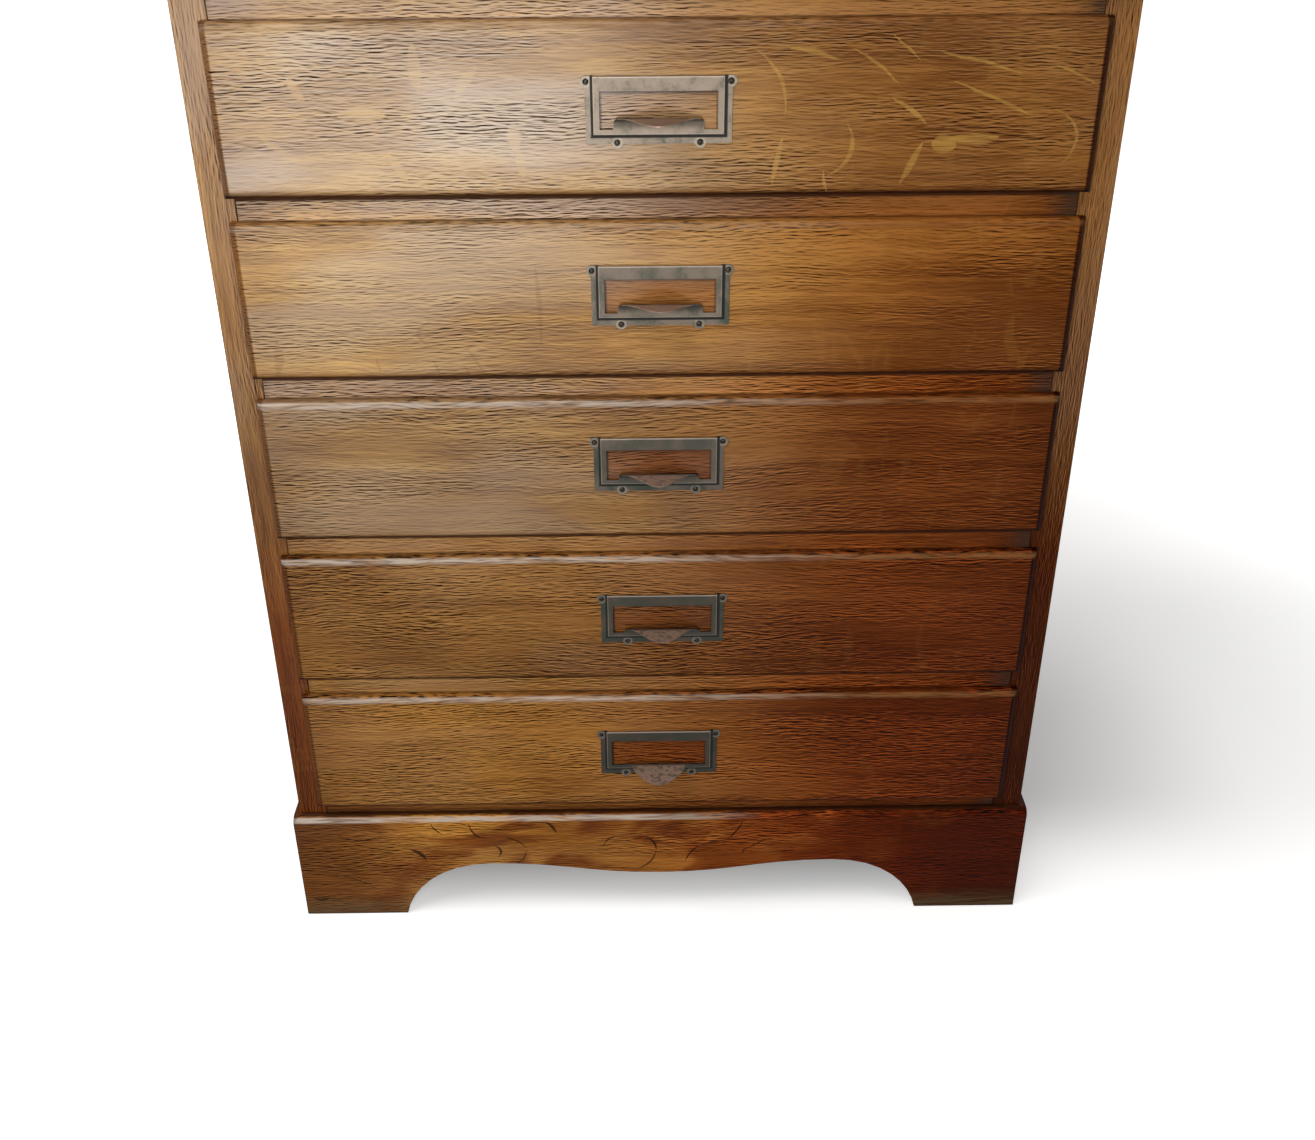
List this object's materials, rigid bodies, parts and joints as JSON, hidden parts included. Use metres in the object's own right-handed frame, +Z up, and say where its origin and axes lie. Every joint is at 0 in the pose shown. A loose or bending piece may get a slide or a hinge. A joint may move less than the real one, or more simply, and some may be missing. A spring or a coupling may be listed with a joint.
{
  "type": "archive cabinet",
  "caption": "Oak archive cabinet: a chest of lipped sliding drawers with metal label pulls, on a bracket plinth with a serpentine apron.",
  "frame": {"origin": "on the floor, under the middle of the bounding box with the drawers shut", "axes": "+Z up, the drawer fronts face -Y, +X on the right of someone facing the fronts"},
  "size_m": [0.676, 0.4796, 0.9836],
  "materials": {
    "case_oak": "varnished quarter-sawn oak",
    "front_oak": "varnished quarter-sawn oak",
    "drawer_wood": "bare secondary wood",
    "pull_metal": "aged copper alloy with patina"
  },
  "bodies": {
    "case": {"plinth_front": "case_oak", "plinth_left": "case_oak", "plinth_right": "case_oak", "side_left": "case_oak", "side_right": "case_oak", "bottom_board": "case_oak", "top_board": "case_oak", "rail_1": "case_oak", "rail_2": "case_oak", "rail_3": "case_oak", "rail_4": "case_oak", "rail_5": "case_oak", "top_rail": "case_oak", "back_panel": "drawer_wood", "runner_1_left": "drawer_wood", "runner_1_right": "drawer_wood", "runner_2_left": "drawer_wood", "runner_2_right": "drawer_wood", "runner_3_left": "drawer_wood", "runner_3_right": "drawer_wood", "runner_4_left": "drawer_wood", "runner_4_right": "drawer_wood", "runner_5_left": "drawer_wood", "runner_5_right": "drawer_wood"},
    "drawer_1": {"drawer_1_front": "front_oak", "drawer_1_side_left": "drawer_wood", "drawer_1_side_right": "drawer_wood", "drawer_1_back": "drawer_wood", "drawer_1_bottom": "drawer_wood", "drawer_1_pull": "pull_metal"},
    "drawer_2": {"drawer_2_front": "front_oak", "drawer_2_side_left": "drawer_wood", "drawer_2_side_right": "drawer_wood", "drawer_2_back": "drawer_wood", "drawer_2_bottom": "drawer_wood", "drawer_2_pull": "pull_metal"},
    "drawer_3": {"drawer_3_front": "front_oak", "drawer_3_side_left": "drawer_wood", "drawer_3_side_right": "drawer_wood", "drawer_3_back": "drawer_wood", "drawer_3_bottom": "drawer_wood", "drawer_3_pull": "pull_metal"},
    "drawer_4": {"drawer_4_front": "front_oak", "drawer_4_side_left": "drawer_wood", "drawer_4_side_right": "drawer_wood", "drawer_4_back": "drawer_wood", "drawer_4_bottom": "drawer_wood", "drawer_4_pull": "pull_metal"},
    "drawer_5": {"drawer_5_front": "front_oak", "drawer_5_side_left": "drawer_wood", "drawer_5_side_right": "drawer_wood", "drawer_5_back": "drawer_wood", "drawer_5_bottom": "drawer_wood", "drawer_5_pull": "pull_metal"},
    "drawer_6": {"drawer_6_front": "front_oak", "drawer_6_side_left": "drawer_wood", "drawer_6_side_right": "drawer_wood", "drawer_6_back": "drawer_wood", "drawer_6_bottom": "drawer_wood", "drawer_6_pull": "pull_metal"}
  },
  "joints": [
    {"name": "drawer_1_slide", "type": "slide", "parent": "case", "child": "drawer_1", "axis": [0, -1, 0], "range_m": [0, 0.32]},
    {"name": "drawer_2_slide", "type": "slide", "parent": "case", "child": "drawer_2", "axis": [0, -1, 0], "range_m": [0, 0.32]},
    {"name": "drawer_3_slide", "type": "slide", "parent": "case", "child": "drawer_3", "axis": [0, -1, 0], "range_m": [0, 0.32]},
    {"name": "drawer_4_slide", "type": "slide", "parent": "case", "child": "drawer_4", "axis": [0, -1, 0], "range_m": [0, 0.32]},
    {"name": "drawer_5_slide", "type": "slide", "parent": "case", "child": "drawer_5", "axis": [0, -1, 0], "range_m": [0, 0.32]},
    {"name": "drawer_6_slide", "type": "slide", "parent": "case", "child": "drawer_6", "axis": [0, -1, 0], "range_m": [0, 0.32]}
  ]
}
